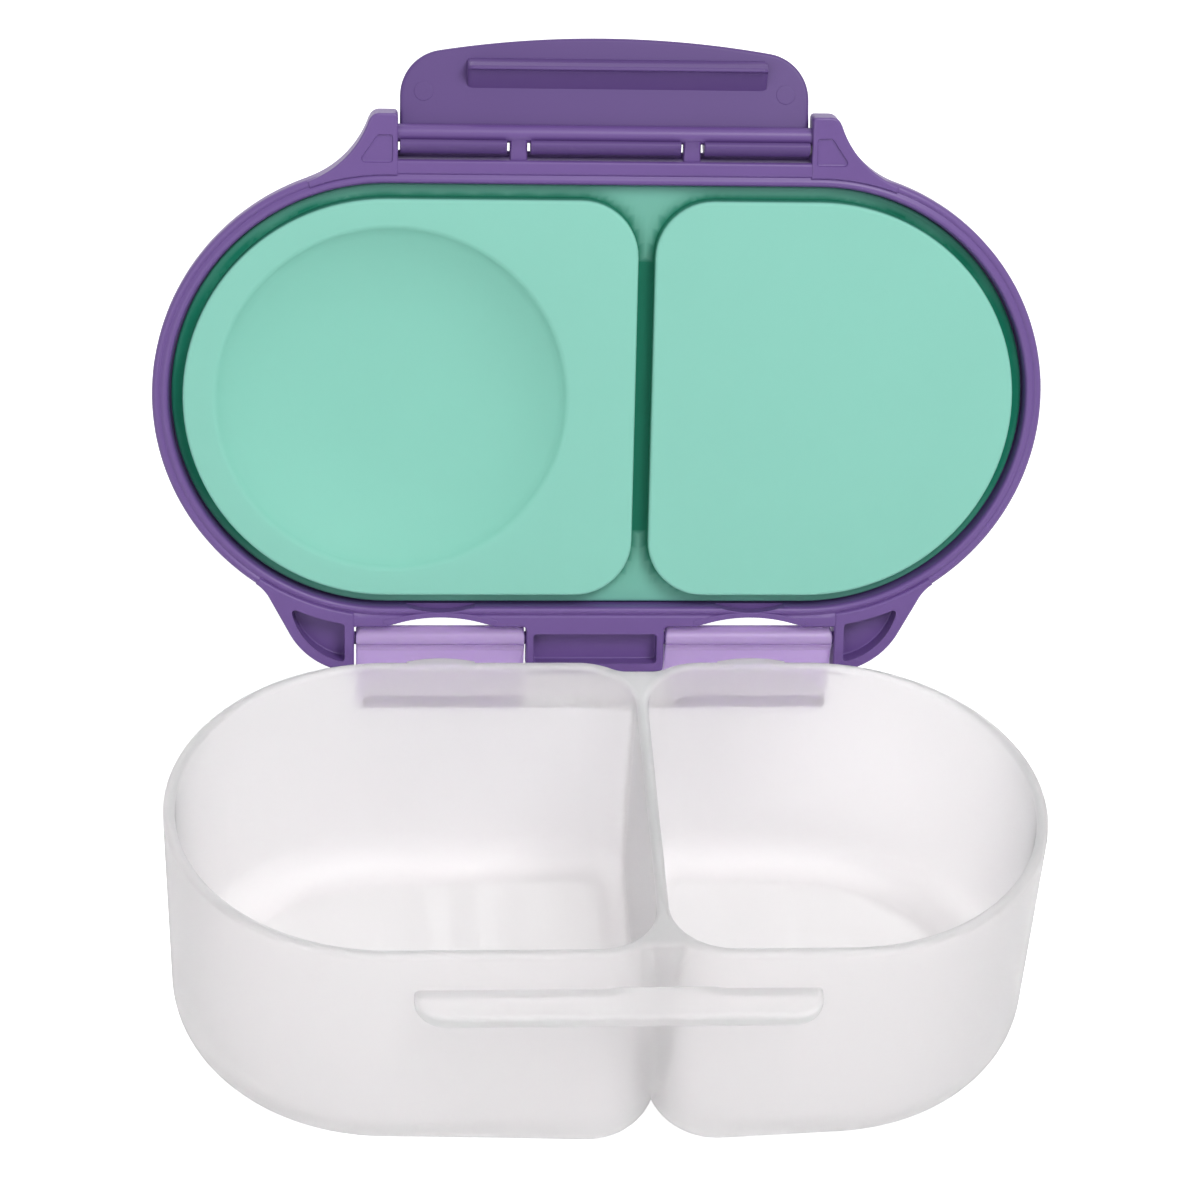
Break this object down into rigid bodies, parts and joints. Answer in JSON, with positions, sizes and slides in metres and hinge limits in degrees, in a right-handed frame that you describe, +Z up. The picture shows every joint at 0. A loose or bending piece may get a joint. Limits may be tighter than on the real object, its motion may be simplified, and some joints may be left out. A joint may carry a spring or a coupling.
{
  "type": "snack container",
  "caption": "Two-compartment oval snack tub with a hinged lid turned back, a soft seal with a round fruit dish, a front latch and two rear hinge clips.",
  "frame": {"origin": "middle of the tub's underside, on the surface that it stands on", "axes": "+X along the tub's length, +Y from the latch side to the hinge side, +Z up"},
  "size_m": [0.1862, 0.1576, 0.1727],
  "materials": {
    "tub_plastic": "frosted natural polypropylene, see-through when lit from behind",
    "lid_plastic": "satin moulded polypropylene, purple",
    "seal_silicone": "soft matt silicone rubber, mint green",
    "latch_plastic": "satin moulded polypropylene, purple",
    "clip_plastic": "satin moulded polypropylene, lilac"
  },
  "bodies": {
    "tub": {"tub": "tub_plastic"},
    "lid": {"lid_frame": "lid_plastic", "seal": "seal_silicone"},
    "latch": {"latch": "latch_plastic"},
    "clip_left": {"hinge_clip_left": "clip_plastic"},
    "clip_right": {"hinge_clip_right": "clip_plastic"}
  },
  "joints": [
    {"name": "lid_hinge", "type": "hinge", "parent": "tub", "child": "lid", "pos_m": [0, 0.0528, 0.056], "axis": [1, 0, 0], "range_deg": [0, 110.6]},
    {"name": "latch_hinge", "type": "hinge", "parent": "lid", "child": "latch", "pos_m": [0, 0.09083, 0.15719], "axis": [1, 0, 0], "range_deg": [0, 105]},
    {"name": "clip_left_hinge", "type": "hinge", "parent": "tub", "child": "clip_left", "pos_m": [-0.033, 0.0528, 0.056], "axis": [1, 0, 0], "range_deg": [0, 70]},
    {"name": "clip_right_hinge", "type": "hinge", "parent": "tub", "child": "clip_right", "pos_m": [0.033, 0.0528, 0.056], "axis": [1, 0, 0], "range_deg": [0, 70]}
  ]
}
